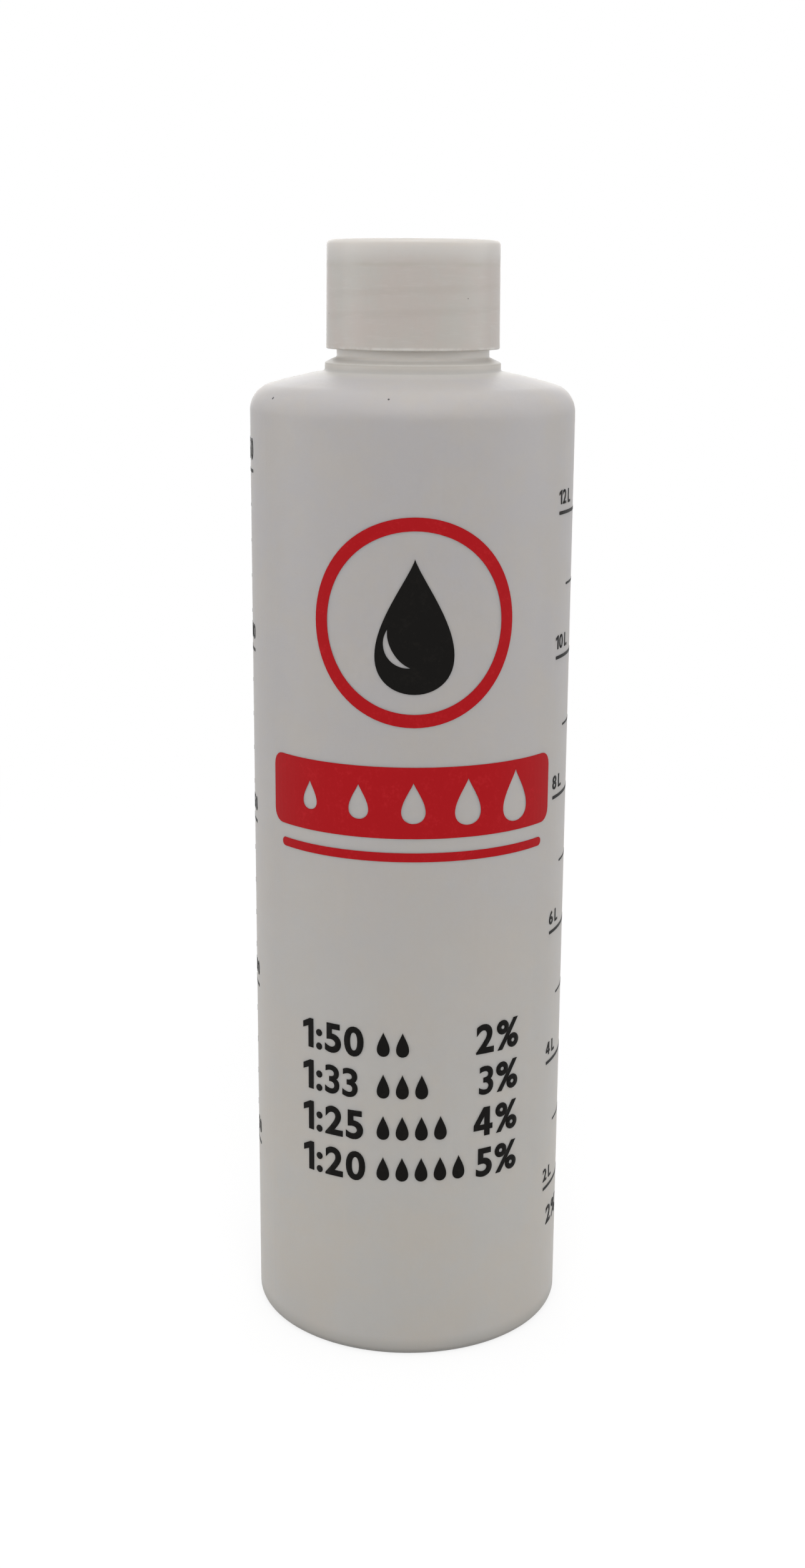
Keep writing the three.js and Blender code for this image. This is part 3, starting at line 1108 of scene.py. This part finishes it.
def makeMixTable():
    s = mixTable
    columns = []
    for ratio, share, baseline in s["rows"]:
        columns.extend(flatText(ratio, s["numeral"], baseline, s["bold"], left=-s["halfWidth"]))
        columns.extend(flatText(f"{share}%", s["numeral"], baseline, s["bold"], right=s["halfWidth"]))
        for number in range(share):
            centre = (s["dropStart"] + number * s["dropPitch"], baseline + s["numeral"] / 2)
            outline = drop(centre, s["dropWidth"], s["dropHeight"], s["dropSteps"])
            columns.append(flatFill([outline]))
    printInk("mixTableInk", columns, inkBlack)


makeScales()
makeEmblem()
makeMixTable()


# The stage: a white floor that shows only the object's soft shadow, in a room that is white
# where it is seen and greyer where it only lights.
stageSize = {
    "floorReach": 6.0, "floorSeen": 0.92, "floorBounce": 0.46, "glowNear": 0.80, "glowFar": 1.0,
    "nearEdge": 0.06, "farEdge": 0.40, "roomLevel": 0.80,
}


def makeFloor():
    s = stageSize
    far = s["floorReach"]
    mesh = bpy.data.meshes.new("floor")
    corners = [(-far, -far, 0), (far, -far, 0), (far, far, 0), (-far, far, 0)]
    mesh.from_pydata(corners, [], [(0, 1, 2, 3)])
    floor = addObject("floor", mesh)
    material = bpy.data.materials.new("whiteFloor")
    material.use_nodes = True
    tree = material.node_tree
    tree.nodes.clear()
    seen = addSeenRays(tree)
    greys = ((s[level],) * 3 + (1,) for level in ("floorBounce", "floorSeen"))
    matte = addNode(tree, "BsdfDiffuse", {"Color": addMix(tree, seen, *greys)}).outputs[0]
    place = addNode(tree, "TexCoord", {}).outputs["Object"]
    length = addNode(tree, "VectorMath", {0: place}, operation="LENGTH").outputs["Value"]
    away = addRamp(tree, length, s["nearEdge"], s["farEdge"])
    share = addMath(tree, "MULTIPLY_ADD", away, s["glowFar"] - s["glowNear"], s["glowNear"])
    glow = addNode(tree, "Emission", {}).outputs[0]
    mix = addNode(tree, "MixShader", {0: times(tree, share, seen), 1: matte, 2: glow})
    addNode(tree, "OutputMaterial", {"Surface": mix.outputs[0]})
    mesh.materials.append(material)


# 1 for a ray of the camera, of a reflection or through something clear, else 0.
def addSeenRays(tree):
    path = tree.nodes.new("ShaderNodeLightPath").outputs
    direct = addMath(tree, "MAXIMUM", path["Is Camera Ray"], path["Is Glossy Ray"])
    return addMath(tree, "MAXIMUM", direct, path["Is Transmission Ray"])


def makeWorld():
    world = bpy.data.worlds.new("studio")
    bpy.context.scene.world = world
    world.use_nodes = True
    tree = world.node_tree
    background = tree.nodes["Background"]
    background.inputs["Color"].default_value = (1, 1, 1, 1)
    level = stageSize["roomLevel"]
    seen = addSeenRays(tree)
    tree.links.new(addMath(tree, "MULTIPLY_ADD", seen, 1 - level, level), background.inputs["Strength"])


lampSize = {
    "overheadFront": ((0.0, -0.85, 0.95), 0.8, 7.6),
    "leftSide": ((-1.05, 0.0, 0.12), 0.6, 2.2),
    "rightSide": ((1.05, 0.0, 0.12), 0.6, 2.1),
    "behind": ((0.0, 1.1, 0.3), 0.8, 3.8),
}
lampAim = (0, 0, 0.1)


# A round lamp of some place, width and power that points at lampAim.
def addLamp(name):
    place, size, power = lampSize[name]
    light = bpy.data.lights.new(name, "AREA")
    light.shape = "DISK"
    light.size = size
    light.energy = power
    forward = np.array(lampAim) - np.array(place)
    forward = forward / np.linalg.norm(forward)
    side = np.cross(forward, (0, 0, 1))
    side = side / np.linalg.norm(side)
    up = np.cross(side, forward)
    addObject(name, light).matrix_world = placeAlong(side, up, -forward, place)


makeFloor()
makeWorld()
for lampName in lampSize:
    addLamp(lampName)


# The camera, from the perspective of the photograph.
cameraSize = {
    "azimuth": -1.2, "distance": 310.81, "height": 166.36, "pitch": 14.110, "yaw": -0.226,
    "roll": -0.329, "focalPixels": 3176.4, "photoHeight": 2510, "sensor": 36.0,
}


# Forward = (sin y cos p, cos y cos p, -sin p) for yaw y and pitch p, turned about the bottle's
# axis by the azimuth and about itself by the roll.
def makeCamera():
    s = cameraSize
    pitch, yaw, roll, azimuth = np.radians((s["pitch"], s["yaw"], s["roll"], s["azimuth"]))
    forward = np.array((np.sin(yaw) * np.cos(pitch), np.cos(yaw) * np.cos(pitch), -np.sin(pitch)))
    right = np.array((np.cos(yaw), -np.sin(yaw), 0))
    down = np.cross(forward, right)
    across = right * np.cos(roll) + down * np.sin(roll)
    below = down * np.cos(roll) - right * np.sin(roll)
    turn = np.array(Matrix.Rotation(azimuth, 3, "Z"))
    place = turn @ np.array((0, -s["distance"], s["height"])) * mm
    across, below, forward = turn @ across, turn @ below, turn @ forward
    data = bpy.data.cameras.new("camera")
    data.sensor_width = s["sensor"]
    data.lens = s["focalPixels"] * s["sensor"] / s["photoHeight"]
    camera = addObject("camera", data)
    camera.matrix_world = placeAlong(across, -below, -forward, place)
    bpy.context.scene.camera = camera


makeCamera()
bpy.context.scene.view_settings.view_transform = "Standard"
print("stage and camera set")
